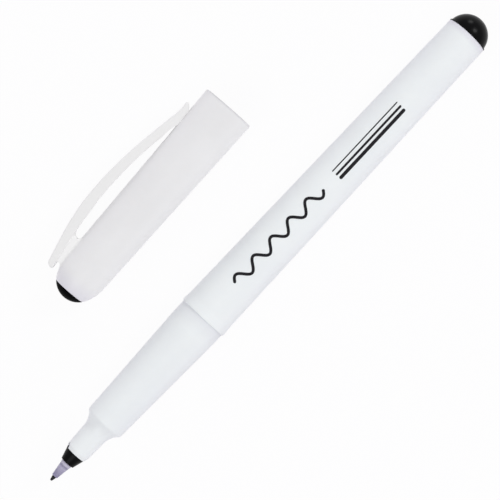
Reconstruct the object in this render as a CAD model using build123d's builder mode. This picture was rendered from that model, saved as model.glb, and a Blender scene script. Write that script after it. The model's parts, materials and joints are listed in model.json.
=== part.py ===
from build123d import *
from math import atan, cos, radians, sin, sqrt
import os

# A fineliner lying on its side, with its cap pulled off and laid down beside it.
# Millimetres: +X runs from the writing point to the rear plug, +Y towards the cap, +Z up.
# The origin is on the floor, under the middle of the whole set.

# Lengths along the pen, from the writing point backwards
nib_bare_length = 1.2
sleeve_cone_length = 3.35
sleeve_collar_length = 0.5
holder_nose_length = 2.57
neck_length = 5.68
shoulder_length = 3.35
grip_length = 27.2
seat_length = 3.2
rim_length = 1.15
barrel_length = 80.7
flange_length = 0.25
dome_height = 4.2

# Fits
slip_gap = 0.04
press_gap = 0.03
cap_gap = 0.04
seam_gap = 0.1

# Nib and nib sleeve
nib_r = 0.46
nib_point_r = 0.28
nib_point_length = 1.0
nib_length = 30.0
sleeve_tip_wall = 0.18
sleeve_stem_wall = 0.45
sleeve_ledge = 0.22
sleeve_collar_proud = 0.08
sleeve_stem_length = 8.0

# Nib holder
holder_wall = 0.62
holder_bevel = 0.06
holder_ledge = 0.33
holder_stem_length = 12.0
holder_tail_wall = 0.9
barb_height = 0.1
barb_length = 0.8
barb_count = 3
barb_spacing = 1.5
air_groove_width = 0.5
air_groove_depth = 0.3
air_groove_count = 4

# Barrel
neck_wall = 0.68
neck_draft = 0.17
neck_r = 2.85
neck_lead_length = 0.9
neck_lead_depth = 0.33
vent_width = 0.9
vent_length = 1.4
vent_angle = -68.0
vent_count = 2
grip_front_r = 4.5
grip_edge_r = 0.5
grip_wall = 1.0
seat_r = 5.44
rim_height = 0.285
rim_bevel = 0.12
barrel_drop = 0.12
barrel_rear_r = 4.8
barrel_rear_wall = 0.95
throat_length = 3.0

# Ink core and the ribs that hold it
rib_count = 6
rib_height = 0.3
rib_thickness = 0.7
rib_stop_height = 0.9
rib_stop_length = 2.6
rib_end_gap = 2.0
core_length = 88.0
core_film = 0.1

# Rear plug
flange_proud = 0.03
dome_step = 0.22
plug_stem_length = 7.0
plug_wall = 0.5
plug_bead_height = 0.08
plug_bead_length = 0.6
plug_bead_count = 2
finger_count = 4
finger_thickness = 0.9
finger_inset = 0.7

# Cap
nib_room = 6.1
mouth_wall = 0.52
mouth_land_length = 3.6
mouth_bevel = 0.18
grip_clear = 0.12
cap_wall = 0.9
cap_dome_length = 6.7
cap_end_wall = 1.77
cap_end_taper = 0.65

# Black plug in the closed end of the cap
cap_plug_height = 1.8
cap_plug_r = 3.69
cap_plug_stem_r = 2.5
cap_plug_setback = 0.1
cap_plug_groove_width = 0.6
cap_plug_groove_depth = 0.35
cap_plug_groove_count = 4

# Inner cap, the sleeve that seals on the neck
seal_gap = 0.03
inner_cap_wall = 0.8
inner_cap_setback = 0.5
inner_cap_nib_gap = 1.2
fin_count = 6
fin_thickness = 0.8
fin_length = 7.0

# Pocket clip: stations along the cap from its closed end, gaps over the cap and thicknesses
clip_tail_x = 2.95
clip_tail_gap = 0.5
clip_tail_thickness = 1.55
clip_tail_round = 0.75
web_start_x = 4.5
web_thickness = 2.6
web_notch_r = 0.42
slot_end_x = 11.3
hinge_x = 12.6
clip_root_slope = 0.2
clip_root_gap = 1.6
clip_root_thickness = 2.45
clip_crest_x = 22.4
clip_crest_gap = 2.45
clip_crest_thickness = 2.33
clip_fall_x = 33.4
clip_fall_gap = 1.8
clip_fall_thickness = 2.04
clip_mouth_distance = 4.75
clip_pad_length = 3.6
clip_pad_gap = 0.1
clip_bend_length = 2.2
clip_bend_height = 1.48
clip_lip_rise = 0.56
clip_lip_thickness = 1.04
clip_lip_round = 0.65
clip_width = 3.2
clip_edge_r = 0.35

# Where the cap lies: how far its closed end is behind the writing point, the clear width
# between cap and pen, and how far it is turned
cap_back = 30.1
cap_clear = 12.73
cap_turn = 1.97

# Stations along the pen
x_sleeve = nib_bare_length
x_collar = x_sleeve + sleeve_cone_length
x_holder = x_collar + sleeve_collar_length
x_neck = x_holder + holder_nose_length
x_shoulder = x_neck + neck_length
x_grip = x_shoulder + shoulder_length
x_seat = x_grip + grip_length
x_rim = x_seat + seat_length
x_barrel = x_rim + rim_length
x_flange = x_barrel + barrel_length
x_dome = x_flange + flange_length
x_end = x_dome + dome_height
x_core = x_grip + throat_length + rib_stop_length
x_core_end = x_core + core_length
x_stem_start = x_flange - plug_stem_length
x_rib_end = x_stem_start - rib_end_gap

# Radii that follow from the walls and fits
sleeve_bore_r = nib_r + slip_gap
sleeve_tip_r = sleeve_bore_r + sleeve_tip_wall
sleeve_stem_r = sleeve_bore_r + sleeve_stem_wall
sleeve_base_r = sleeve_stem_r + sleeve_ledge
sleeve_collar_r = sleeve_base_r + sleeve_collar_proud
holder_bore_r = sleeve_stem_r + press_gap
holder_front_r = holder_bore_r + holder_wall
neck_front_r = neck_r - neck_draft
neck_bore_r = neck_front_r - neck_wall
holder_nose_r = neck_bore_r + holder_ledge
holder_stem_r = neck_bore_r - press_gap - barb_height
holder_tail_r = sleeve_bore_r + holder_tail_wall
rim_r = seat_r + rim_height
barrel_front_r = rim_r - barrel_drop
bore_front_r = grip_front_r - grip_wall
bore_rear_r = barrel_rear_r - barrel_rear_wall
rib_r = bore_front_r - rib_height
rib_root_r = bore_rear_r + rib_height / 2
film_r = rib_r - slip_gap
core_r = film_r - core_film
flange_r = barrel_rear_r + flange_proud
dome_base_r = flange_r - dome_step
plug_stem_r = bore_rear_r - press_gap - plug_bead_height

# Cap sizes, with stations from its closed end. The pen's station x lies at x + nib_room when capped.
cap_length = x_rim + nib_room
cap_bore_r = seat_r + cap_gap
cap_mouth_r = cap_bore_r + mouth_wall
cap_mid_x = x_grip + nib_room
cap_mid_bore_r = grip_front_r + grip_clear
cap_slope = (cap_mouth_r - cap_mid_bore_r - cap_wall) / (cap_length - cap_mid_x)
cap_end_x = cap_plug_height + cap_end_wall
cap_plug_stem_length = cap_end_wall - cap_plug_setback
seal_bore_r = neck_r + seal_gap
inner_cap_r = seal_bore_r + inner_cap_wall
inner_cap_floor_x = nib_room - inner_cap_nib_gap
inner_cap_mouth_x = x_shoulder + nib_room - inner_cap_setback


def cap_radius(x):
    """Outer radius of the cap's tapered body at a station from its closed end."""
    return cap_mouth_r - cap_slope * (cap_length - x)


cap_rear_r = cap_radius(cap_dome_length)
cap_rear_bore_r = cap_rear_r - cap_wall
cap_end_bore_r = cap_rear_bore_r - cap_end_taper


def cap_bore_radius(x):
    """Inner radius of the cap between its dome and the place of the grip's front edge."""
    share = (x - cap_dome_length) / (cap_mid_x - cap_dome_length)
    return cap_rear_bore_r + share * (cap_mid_bore_r - cap_rear_bore_r)


# The pen rests on its rim and on the flange of the rear plug, so its axis drops towards the rear
pen_tilt = atan((rim_r - flange_r) / (x_dome - x_barrel))
pen_height = rim_r * cos(pen_tilt) + x_barrel * sin(pen_tilt)

# The cap rests along its tapered side, so its axis rises towards the mouth
cap_tilt = atan(cap_slope)
cap_height = cap_mouth_r * cos(cap_tilt) - cap_length * sin(cap_tilt)
cap_heading = radians(cap_turn)

# The set's middle: along X the pen's own middle, along Y half way from the rim to the clip's crest
clip_crest_r = cap_radius(clip_crest_x) + clip_crest_gap + clip_crest_thickness
cap_lane = rim_r + cap_clear + cap_mouth_r
crest_y = cap_lane + clip_crest_x * sin(cap_heading) + clip_crest_r * cos(cap_heading)
middle_x = x_end * cos(pen_tilt) / 2
middle_y = (crest_y - rim_r) / 2

# Section planes: local X is the axis. The pen's holds the upright, the cap's holds its clip.
pen_side = Plane(
    origin=(-middle_x, -middle_y, pen_height),
    x_dir=(cos(pen_tilt), 0, -sin(pen_tilt)),
    z_dir=(0, -1, 0),
)
cap_side = Plane(
    origin=(cap_back - middle_x, cap_lane - middle_y, cap_height),
    x_dir=(cos(cap_tilt) * cos(cap_heading), cos(cap_tilt) * sin(cap_heading), sin(cap_tilt)),
    y_dir=(-sin(cap_heading), cos(cap_heading), 0),
)
pen_axis = Axis(pen_side.origin, pen_side.x_dir)
cap_axis = Axis(cap_side.origin, cap_side.x_dir)


def turned(side, angle):
    """The section plane turned about its axis."""
    across = side.y_dir * cos(radians(angle)) + side.z_dir * sin(radians(angle))
    return Plane(origin=side.origin, x_dir=side.x_dir, y_dir=across)


def facing(side, radius):
    """A plane along the axis that faces outwards, at a distance from the axis."""
    return Plane(
        origin=side.from_local_coords((0, radius, 0)), x_dir=side.x_dir, z_dir=side.y_dir
    )


def corners(sketch, *places):
    """The corners of a sketch nearest to places given along and across its plane."""
    found = sketch.vertices()
    return [found.sort_by_distance((x, r, 0))[0] for x, r in places]


def meeting_point(start, start_slope, end, end_slope):
    """Where two arcs meet smoothly that leave start and reach end with the given slopes."""
    leave = Vector(1, start_slope).normalized()
    reach = Vector(1, end_slope).normalized()
    chord = Vector(*end) - Vector(*start)
    bend = 2 - 2 * leave.dot(reach)
    along = chord.dot(leave + reach)
    reach_length = (sqrt(along**2 + bend * chord.dot(chord)) - along) / bend
    return (Vector(*start) + Vector(*end) + (leave - reach) * reach_length) / 2


def angles(count, first=0.0):
    """Evenly spaced angles about an axis."""
    return [first + k * 360.0 / count for k in range(count)]


# Nib: a capillary rod with a tapered, rounded point, long enough to stand in the ink core
with BuildPart() as nib:
    with BuildSketch(pen_side):
        with BuildLine():
            point_arc = RadiusArc((0, 0), (nib_point_r, nib_point_r), nib_point_r)
            Polyline(
                point_arc @ 1,
                (nib_point_length, nib_r),
                (nib_length, nib_r),
                (nib_length, 0),
                (0, 0),
            )
        make_face()
    revolve(axis=pen_axis)
nib.part.label = "nib"

# Nib sleeve: a cone with a collar that sits on the holder, and a stem inside it
x_sleeve_end = x_holder + sleeve_stem_length
with BuildPart() as nib_sleeve:
    with BuildSketch(pen_side):
        with BuildLine():
            Polyline(
                (x_sleeve, sleeve_bore_r),
                (x_sleeve, sleeve_tip_r),
                (x_collar, sleeve_base_r),
                (x_collar, sleeve_collar_r),
                (x_holder, sleeve_collar_r),
                (x_holder, sleeve_stem_r),
                (x_sleeve_end, sleeve_stem_r),
                (x_sleeve_end, sleeve_bore_r),
                close=True,
            )
        make_face()
    revolve(axis=pen_axis)
nib_sleeve.part.label = "nib_sleeve"

# Nib holder: a black nose that seats on the neck's rim, a barbed stem and a thin tail
x_stem_end = x_neck + holder_stem_length
x_barbs = x_neck + barb_spacing
with BuildPart() as nib_holder:
    with BuildSketch(pen_side):
        with BuildLine():
            Polyline(
                (x_holder, holder_bore_r),
                (x_holder, sleeve_collar_r),
                (x_holder + holder_bevel, holder_front_r),
                (x_neck, holder_nose_r),
                (x_neck, holder_stem_r),
                (x_shoulder, holder_stem_r),
                (x_shoulder, holder_tail_r),
                (x_stem_end, holder_tail_r),
                (x_stem_end, sleeve_bore_r),
                (x_sleeve_end, sleeve_bore_r),
                (x_sleeve_end, holder_bore_r),
                close=True,
            )
        make_face()
    revolve(axis=pen_axis)
    # Barbs grip the neck's bore
    with BuildSketch(pen_side):
        for k in range(barb_count):
            x_barb = x_barbs + k * barb_spacing
            with BuildLine():
                Polyline(
                    (x_barb, holder_stem_r - barb_height),
                    (x_barb, holder_stem_r + barb_height),
                    (x_barb + barb_length, holder_stem_r),
                    (x_barb + barb_length, holder_stem_r - barb_height),
                    close=True,
                )
            make_face()
    revolve(axis=pen_axis)
    # Grooves let air past the stem as the ink is used
    for angle in angles(air_groove_count, vent_angle):
        with BuildSketch(facing(turned(pen_side, angle), holder_stem_r - air_groove_depth)):
            with Locations(((x_neck + x_shoulder) / 2, 0)):
                Rectangle(neck_length, air_groove_width)
        extrude(amount=air_groove_depth + barb_height * 2, mode=Mode.SUBTRACT)
nib_holder.part.label = "nib_holder"

# Barrel: neck, concave shoulder, grip cone, cap seat, stop rim and tapered tube, open at the rear
x_throat = x_grip + throat_length
with BuildPart() as barrel:
    with BuildSketch(pen_side) as wall:
        with BuildLine():
            Polyline(
                (x_neck, neck_bore_r),
                (x_neck, neck_front_r - neck_lead_depth),
                (x_neck + neck_lead_length, neck_front_r),
                (x_shoulder, neck_r),
            )
            shoulder = TangentArc(
                (x_shoulder, neck_r), (x_grip, grip_front_r), tangent=(neck_length, neck_draft)
            )
            Polyline(
                shoulder @ 1,
                (x_seat, seat_r),
                (x_rim, seat_r),
                (x_rim, rim_r),
                (x_barrel, rim_r),
                (x_barrel + barrel_drop, barrel_front_r),
                (x_flange, barrel_rear_r),
                (x_flange, bore_rear_r),
                (x_stem_start, bore_rear_r),
                (x_throat, bore_front_r),
                (x_shoulder, neck_bore_r),
                (x_neck, neck_bore_r),
            )
        make_face()
        fillet(corners(wall, (x_grip, grip_front_r)), radius=grip_edge_r)
        chamfer(corners(wall, (x_rim, rim_r)), length=rim_bevel)
    revolve(axis=pen_axis)
    # Ribs centre the ink core and stop it at the front
    for angle in angles(rib_count):
        with BuildSketch(turned(pen_side, angle)):
            with BuildLine():
                Polyline(
                    (x_throat, rib_root_r),
                    (x_throat, rib_r - rib_stop_height),
                    (x_core, rib_r - rib_stop_height),
                    (x_core, rib_r),
                    (x_rib_end, rib_r),
                    (x_rib_end, rib_root_r),
                    close=True,
                )
            make_face()
        extrude(amount=rib_thickness / 2, both=True)
    # Vent notches in the neck's rim
    for angle in angles(vent_count, vent_angle):
        with BuildSketch(facing(turned(pen_side, angle), 0)):
            with BuildLine():
                Polyline(
                    (x_neck, -vent_width / 2),
                    (x_neck + vent_length, 0),
                    (x_neck, vent_width / 2),
                    close=True,
                )
            make_face()
        extrude(amount=neck_r + neck_draft, mode=Mode.SUBTRACT)
barrel.part.label = "barrel"

# Ink core: a fibre rod with a pocket where the nib has been pushed in
with BuildPart() as ink_core:
    with BuildSketch(pen_side):
        with BuildLine():
            Polyline(
                (x_core, sleeve_bore_r),
                (x_core, core_r),
                (x_core_end, core_r),
                (x_core_end, 0),
                (nib_length, 0),
                (nib_length, sleeve_bore_r),
                close=True,
            )
        make_face()
    revolve(axis=pen_axis)
ink_core.part.label = "ink_core"

# Film round the ink core
with BuildPart() as core_wrap:
    with BuildSketch(pen_side):
        with BuildLine():
            Polyline(
                (x_core, core_r),
                (x_core, film_r),
                (x_core_end, film_r),
                (x_core_end, core_r),
                close=True,
            )
        make_face()
    revolve(axis=pen_axis)
core_wrap.part.label = "core_wrap"

# Rear plug: a dome and a flange outside, a hollow stem that would take the core's end, and fingers
with BuildPart() as rear_plug:
    with BuildSketch(pen_side):
        with BuildLine():
            dome_r = (dome_base_r**2 + dome_height**2) / (2 * dome_height)
            dome = RadiusArc((x_dome, dome_base_r), (x_end, 0), dome_r)
            Polyline(
                dome @ 1,
                (x_dome, 0),
                (x_dome, plug_stem_r - plug_wall),
                (x_stem_start, plug_stem_r - plug_wall),
                (x_stem_start, plug_stem_r),
                (x_flange, plug_stem_r),
                (x_flange, flange_r),
                (x_dome, flange_r),
                (x_dome, dome_base_r),
            )
        make_face()
    revolve(axis=pen_axis)
    # Beads seal the stem in the barrel
    bead_spacing = plug_stem_length / (plug_bead_count + 1)
    with BuildSketch(pen_side):
        for k in range(plug_bead_count):
            x_bead = x_stem_start + (k + 1) * bead_spacing
            with Locations((x_bead, plug_stem_r - plug_wall / 2 + plug_bead_height / 2)):
                Rectangle(plug_bead_length, plug_wall + plug_bead_height)
    revolve(axis=pen_axis)
    # Fingers keep the ink core from sliding back
    for angle in angles(finger_count):
        with BuildSketch(turned(pen_side, angle)):
            with BuildLine():
                Polyline(
                    (x_core_end + slip_gap, 0),
                    (x_core_end + slip_gap, core_r - finger_inset),
                    (x_dome, core_r - finger_inset),
                    (x_dome, 0),
                    close=True,
                )
            make_face()
        extrude(amount=finger_thickness / 2, both=True)
rear_plug.part.label = "rear_plug"

# Places on the clip's outline, in the cap's section plane
hinge_r = clip_root_thickness / 2
hinge_t = cap_radius(hinge_x) + clip_root_gap + hinge_r
root_angle = atan(clip_root_slope)
root_shift = hinge_r * sin(root_angle)
root_rise = hinge_r * cos(root_angle)
root_outer = (hinge_x - root_shift, hinge_t + root_rise)
root_inner = (hinge_x + root_shift, hinge_t - root_rise)
clip_end_x = cap_length - clip_mouth_distance
clip_pad_x = clip_end_x - clip_pad_length
clip_bend_x = clip_end_x - clip_bend_length
clip_lip_x = clip_end_x - clip_lip_round
clip_crest_t = cap_radius(clip_crest_x) + clip_crest_gap
clip_fall_t = cap_radius(clip_fall_x) + clip_fall_gap
clip_pad_t = cap_radius(clip_pad_x) + clip_pad_gap
clip_lip_t = cap_radius(clip_end_x) + clip_lip_rise
crest_inner = (clip_crest_x, clip_crest_t)
crest_outer = (clip_crest_x, clip_crest_t + clip_crest_thickness)
fall_inner = (clip_fall_x, clip_fall_t)
fall_outer = (clip_fall_x, clip_fall_t + clip_fall_thickness)
pad_inner = (clip_pad_x, clip_pad_t)
bend_outer = (clip_bend_x, cap_radius(clip_bend_x) + clip_bend_height)
lip_inner = (clip_lip_x, clip_lip_t)
lip_outer = (clip_lip_x, clip_lip_t + clip_lip_thickness)
lip_end = (clip_end_x, clip_lip_t + clip_lip_thickness / 2)
tail_t = cap_rear_r + clip_tail_gap

# Pocket clip: the free arm, from the round end in its root to the pad and the flared lip
with BuildPart() as pocket_clip:
    with BuildSketch(cap_side):
        with BuildLine():
            ThreePointArc(root_inner, (hinge_x - root_rise, hinge_t - root_shift), root_outer)
            rise = TangentArc(root_outer, crest_outer, tangent=(1, clip_root_slope))
            fall = TangentArc(crest_outer, fall_outer, tangent=rise % 1)
            slope = TangentArc(fall_outer, bend_outer, tangent=fall % 1)
            bend = TangentArc(bend_outer, lip_outer, tangent=slope % 1)
            ThreePointArc(bend @ 1, lip_end, lip_inner)
            TangentArc(pad_inner, lip_inner, tangent=(1, cap_slope))
            rise_in = TangentArc(root_inner, crest_inner, tangent=(1, clip_root_slope))
            fall_in = TangentArc(crest_inner, fall_inner, tangent=rise_in % 1)
            fall_in_end = fall_in % 1
            turn = meeting_point(fall_inner, fall_in_end.Y / fall_in_end.X, pad_inner, cap_slope)
            slope_in = TangentArc(fall_inner, turn, tangent=fall_in_end)
            TangentArc(turn, pad_inner, tangent=slope_in % 1)
        make_face()
    extrude(amount=clip_width / 2, both=True)
    # Soft edges along both sides
    sides = pocket_clip.faces().sort_by(Axis(cap_side.origin, cap_side.z_dir))
    lower_edges = sides[0].edges().sort_by(SortBy.LENGTH)[-2:]
    upper_edges = sides[-1].edges().sort_by(SortBy.LENGTH)[-2:]
    fillet(lower_edges + upper_edges, radius=clip_edge_r)
pocket_clip.part.label = "pocket_clip"

# Cap shell: a tapered tube with a domed end, a hole for its plug, and the root of the clip
cap_hole_r = cap_plug_stem_r + press_gap
with BuildPart() as cap_shell:
    with BuildSketch(cap_side) as wall:
        with BuildLine():
            TangentArc(
                (cap_dome_length, cap_rear_r), (cap_plug_height, cap_plug_r), tangent=(-1, -cap_slope)
            )
            Polyline(
                (cap_dome_length, cap_rear_r),
                (cap_length, cap_mouth_r),
                (cap_length, cap_bore_r),
                (cap_length - mouth_land_length, cap_bore_r),
                (cap_mid_x, cap_mid_bore_r),
                (cap_dome_length, cap_rear_bore_r),
                (cap_end_x, cap_end_bore_r),
                (cap_end_x, cap_hole_r),
                (cap_plug_height, cap_hole_r),
                (cap_plug_height, cap_plug_r),
            )
        make_face()
        chamfer(corners(wall, (cap_length, cap_mouth_r)), length=mouth_bevel)
    revolve(axis=cap_axis)
    # Tail of the clip, with a round seat for the arm's end
    with BuildSketch(cap_side):
        with BuildLine():
            tail_x = clip_tail_x + clip_tail_round
            ThreePointArc(
                (tail_x, tail_t),
                (clip_tail_x, tail_t + clip_tail_thickness / 2),
                (tail_x, tail_t + clip_tail_thickness),
            )
            Polyline((tail_x, tail_t + clip_tail_thickness), root_outer, root_inner, (tail_x, tail_t))
        make_face()
        with Locations((hinge_x, hinge_t)):
            Circle(hinge_r + seam_gap, mode=Mode.SUBTRACT)
    extrude(amount=clip_width / 2, both=True)
    # Web between the tail and the body, with a round notch behind it and a round end to the slot
    with BuildSketch(cap_side):
        with BuildLine():
            slot_r = clip_root_gap / 2
            slot_x = slot_end_x + slot_r
            slot_t = cap_radius(slot_x)
            ThreePointArc(
                (slot_x, slot_t), (slot_end_x, slot_t + slot_r), (slot_x, slot_t + clip_root_gap)
            )
            Polyline(
                (slot_x, slot_t + clip_root_gap),
                (web_start_x, tail_t + clip_tail_thickness / 2),
                (web_start_x, cap_rear_bore_r),
                (slot_x, cap_rear_bore_r),
                (slot_x, slot_t),
            )
        make_face()
        with Locations((web_start_x, tail_t - web_notch_r)):
            Circle(web_notch_r, mode=Mode.SUBTRACT)
    extrude(amount=web_thickness / 2, both=True)
    # The bore stays clear of the web
    with BuildSketch(cap_side):
        with BuildLine():
            Polyline(
                (web_start_x, 0),
                (web_start_x, cap_end_bore_r),
                (cap_dome_length, cap_rear_bore_r),
                (cap_mid_x, cap_mid_bore_r),
                (cap_mid_x, 0),
                close=True,
            )
        make_face()
    revolve(axis=cap_axis, mode=Mode.SUBTRACT)
cap_shell.part.label = "cap_shell"

# Black plug of the cap: a domed head and a grooved stem
with BuildPart() as cap_plug:
    with BuildSketch(cap_side):
        with BuildLine():
            head_r = (cap_plug_r**2 + cap_plug_height**2) / (2 * cap_plug_height)
            RadiusArc((0, 0), (cap_plug_height, cap_plug_r), head_r)
            Polyline(
                (cap_plug_height, cap_plug_r),
                (cap_plug_height, cap_plug_stem_r),
                (cap_plug_height + cap_plug_stem_length, cap_plug_stem_r),
                (cap_plug_height + cap_plug_stem_length, 0),
                (0, 0),
            )
        make_face()
    revolve(axis=cap_axis)
    for angle in angles(cap_plug_groove_count, 180.0 / cap_plug_groove_count):
        with BuildSketch(facing(turned(cap_side, angle), cap_plug_stem_r - cap_plug_groove_depth)):
            with Locations((cap_plug_height + cap_plug_stem_length / 2, 0)):
                Rectangle(cap_plug_stem_length, cap_plug_groove_width)
        extrude(amount=cap_plug_groove_depth * 2, mode=Mode.SUBTRACT)
cap_plug.part.label = "cap_plug"

# Inner cap: a cup that seals on the neck, held in the shell by fins that let air pass
with BuildPart() as inner_cap:
    with BuildSketch(cap_side):
        with BuildLine():
            Polyline(
                (cap_end_x, 0),
                (cap_end_x, cap_end_bore_r - slip_gap),
                (inner_cap_floor_x, inner_cap_r),
                (inner_cap_mouth_x, inner_cap_r),
                (inner_cap_mouth_x, seal_bore_r),
                (inner_cap_floor_x, seal_bore_r),
                (inner_cap_floor_x, 0),
                close=True,
            )
        make_face()
    revolve(axis=cap_axis)
    fin_end_x = cap_dome_length + fin_length
    for angle in angles(fin_count, 180.0 / fin_count):
        with BuildSketch(turned(cap_side, angle)):
            with BuildLine():
                Polyline(
                    (cap_dome_length, inner_cap_r - inner_cap_wall / 2),
                    (cap_dome_length, cap_rear_bore_r - slip_gap),
                    (fin_end_x, cap_bore_radius(fin_end_x) - slip_gap),
                    (fin_end_x, inner_cap_r - inner_cap_wall / 2),
                    close=True,
                )
            make_face()
        extrude(amount=fin_thickness / 2, both=True)
inner_cap.part.label = "inner_cap"

os.makedirs("parts", exist_ok=True)
pen_pieces = (nib, nib_sleeve, nib_holder, barrel, ink_core, core_wrap, rear_plug)
cap_pieces = (cap_shell, pocket_clip, cap_plug, inner_cap)
for piece in pen_pieces + cap_pieces:
    export_step(piece.part, f"parts/{piece.part.label}.step")
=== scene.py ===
# %% [markdown]
# # A fineliner with its cap pulled off
#
# The object is a slim disposable pen: a white moulded barrel, a black nose that holds a fine fibre
# point, a black plug at the rear, and beside it the pulled-off cap with a springy pocket clip.
# Nearly every piece is round, so the lesson is about one idea: a good profile, turned about an axis.
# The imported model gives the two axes, and this script draws the skins that the eye sees around them.

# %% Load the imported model
import json

import bmesh
import bpy
import numpy as np
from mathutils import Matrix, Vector


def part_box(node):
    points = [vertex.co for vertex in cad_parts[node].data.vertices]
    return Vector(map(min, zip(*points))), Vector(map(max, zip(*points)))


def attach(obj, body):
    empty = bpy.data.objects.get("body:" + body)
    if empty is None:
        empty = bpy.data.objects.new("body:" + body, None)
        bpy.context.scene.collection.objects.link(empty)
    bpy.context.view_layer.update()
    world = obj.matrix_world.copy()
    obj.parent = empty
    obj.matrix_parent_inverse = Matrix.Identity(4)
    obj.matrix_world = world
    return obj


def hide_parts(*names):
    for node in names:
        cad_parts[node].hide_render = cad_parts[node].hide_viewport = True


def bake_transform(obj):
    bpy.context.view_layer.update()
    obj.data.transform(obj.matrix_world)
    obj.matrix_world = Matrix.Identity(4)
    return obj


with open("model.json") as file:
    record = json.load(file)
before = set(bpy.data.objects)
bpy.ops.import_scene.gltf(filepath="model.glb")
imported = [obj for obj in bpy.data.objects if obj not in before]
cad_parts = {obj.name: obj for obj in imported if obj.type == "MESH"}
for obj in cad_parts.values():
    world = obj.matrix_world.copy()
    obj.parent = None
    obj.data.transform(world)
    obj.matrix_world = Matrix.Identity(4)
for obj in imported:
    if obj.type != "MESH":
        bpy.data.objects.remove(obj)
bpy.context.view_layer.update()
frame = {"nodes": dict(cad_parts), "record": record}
MM = 0.001
print("nodes:", ", ".join(sorted(frame["nodes"])))

# %% [markdown]
# ## Two axes
#
# The pen lies on its rim and on the flange of its rear plug, and the cap lies along its tapered side,
# so neither axis is quite level. The pieces could be drawn level and turned afterwards. Here their
# points are worked out in place, because a finished piece sits at the origin, unturned. The record's
# mounts state the directions of the axes. Each axis becomes a set of three directions: along, across
# (level) and up. All stations below are in millimetres, counted from the writing point on the pen and
# from the closed end on the cap.


# %% Axes from the mounts
def axis_line(mount_name, sign, first_node):
    """Origin and directions of an axis: through a mount, starting at the first node's lowest X."""
    mount = next(m for m in frame["record"]["mounts"] if m["name"] == mount_name)
    along = sign * np.array(mount["axis"])
    along /= np.linalg.norm(along)
    across = np.cross((0, 0, 1), along)
    across /= np.linalg.norm(across)
    place = np.array(mount["pos_m"])
    origin = place + along * (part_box(first_node)[0].x - place[0]) / along[0]
    return {"origin": origin, "along": along, "across": across, "up": np.cross(along, across)}


def on_line(line, x, across, up):
    """Points in metres: the origin plus x along, across and up the axis, all in millimetres."""
    x, across, up = (part[..., None] for part in np.broadcast_arrays(x, across, up))
    return line["origin"] + MM * (x * line["along"] + across * line["across"] + up * line["up"])


pen_line = axis_line("cap_seat", -1, "nib")
cap_line = axis_line("cap_mouth", 1, "cap_plug")
print("pen from", pen_line["origin"].round(5), "and cap from", cap_line["origin"].round(5))

# %% [markdown]
# ## From arrays to a mesh
#
# Primitives, Spin and modifiers could make these pieces too. Grids of points are chosen because the
# same few lines then serve a tube, a clip and a printed line, and every size stays a number that can be
# read. One function joins neighbours with quads, merges the points that fall together at a pole or a
# seam, turns the faces outwards, and shades the result smooth except at edges that are really sharp.

# %% Mesh helper
SHARP_ANGLE = np.radians(40)
MERGE_DISTANCE = 1e-8


def grid_faces(rows, columns, first):
    """Quads between neighbouring rows of a grid whose columns close on themselves."""
    row, column = np.meshgrid(np.arange(rows - 1), np.arange(columns), indexing="ij")
    here = row * columns + column
    beside = row * columns + (column + 1) % columns
    return first + np.stack([here, beside, beside + columns, here + columns], -1).reshape(-1, 4)


def make_piece(name, material, *grids):
    """One object from grids of points of shape (rows, columns, 3), in metres."""
    points = np.concatenate([grid.reshape(-1, 3) for grid in grids])
    firsts = np.cumsum([0] + [grid[..., 0].size for grid in grids[:-1]])
    faces = np.concatenate([grid_faces(*g.shape[:2], first) for g, first in zip(grids, firsts)])
    mesh = bpy.data.meshes.new(name)
    mesh.from_pydata(points.tolist(), [], faces.tolist())
    shell = bmesh.new()
    shell.from_mesh(mesh)
    bmesh.ops.remove_doubles(shell, verts=shell.verts, dist=MERGE_DISTANCE)
    bmesh.ops.dissolve_degenerate(shell, edges=shell.edges, dist=MERGE_DISTANCE)
    bmesh.ops.recalc_face_normals(shell, faces=shell.faces)
    shell.to_mesh(mesh)
    shell.free()
    mesh.polygons.foreach_set("use_smooth", np.ones(len(mesh.polygons), bool))
    mesh.set_sharp_from_angle(angle=SHARP_ANGLE)
    mesh.materials.append(material)
    piece = bpy.data.objects.new(name, mesh)
    bpy.context.scene.collection.objects.link(piece)
    print(f"{name}: {len(mesh.polygons)} faces")
    return piece


print("a grid of 3 rings with 8 points has", len(grid_faces(3, 8, 0)), "faces")


# %% Body helper
def belongs(piece, body, slot, *nodes):
    """The piece rides on a body and stands for the given CAD nodes, which it hides. slot is not used."""
    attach(piece, body)
    if nodes:
        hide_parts(*nodes)


# %% [markdown]
# ## Profiles
#
# A mould's edges all have a small radius, and so have the pieces that come out of it. A Bevel modifier
# could round them afterwards, but here nearly every corner has a radius of its own. So a profile is
# written as a chain of corners with a rounding each, and a function puts an arc into each corner. A
# point just before and just after each arc keeps the straight stretches flat under smooth shading.

# %% Rounded corners
CORNER_POINTS = 7
SUPPORT = 0.08
# Keeps a straight corner from dividing by zero
TINY = 1e-12


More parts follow.
